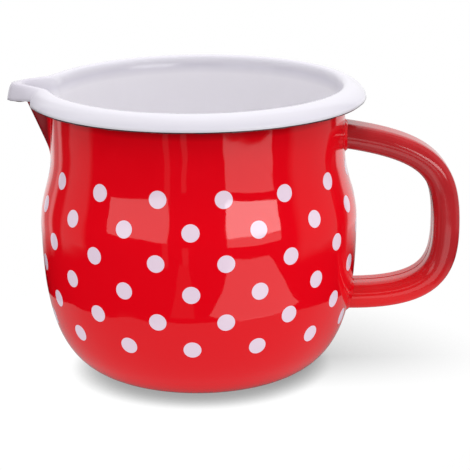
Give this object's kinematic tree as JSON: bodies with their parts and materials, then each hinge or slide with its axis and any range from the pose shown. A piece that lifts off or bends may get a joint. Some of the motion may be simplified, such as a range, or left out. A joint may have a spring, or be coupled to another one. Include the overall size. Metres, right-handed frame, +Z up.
{
  "type": "enamelled melting pot with pouring spout",
  "caption": "Bellied, white-lined enamelled steel melting pot with a turned-down rim, a pressed pouring spout and a loop handle opposite it.",
  "frame": {"origin": "centre of the flat underside, on the surface that the pot stands on", "axes": "+Z up; +X towards the handle, so -X is the side of the pouring spout"},
  "size_m": [0.1591, 0.1172, 0.1052],
  "materials": {
    "bare_steel": "satin",
    "white_enamel": "gloss",
    "red_enamel": "gloss",
    "ground_enamel": "satin"
  },
  "bodies": {
    "root": {"steel_body": "bare_steel", "handle_strip": "bare_steel", "white_lining": "white_enamel", "red_body_coat": "red_enamel", "handle_coat": "red_enamel", "upper_weld_bead": "red_enamel", "lower_weld_bead": "red_enamel", "rim_edge_bead": "ground_enamel"}
  },
  "joints": []
}
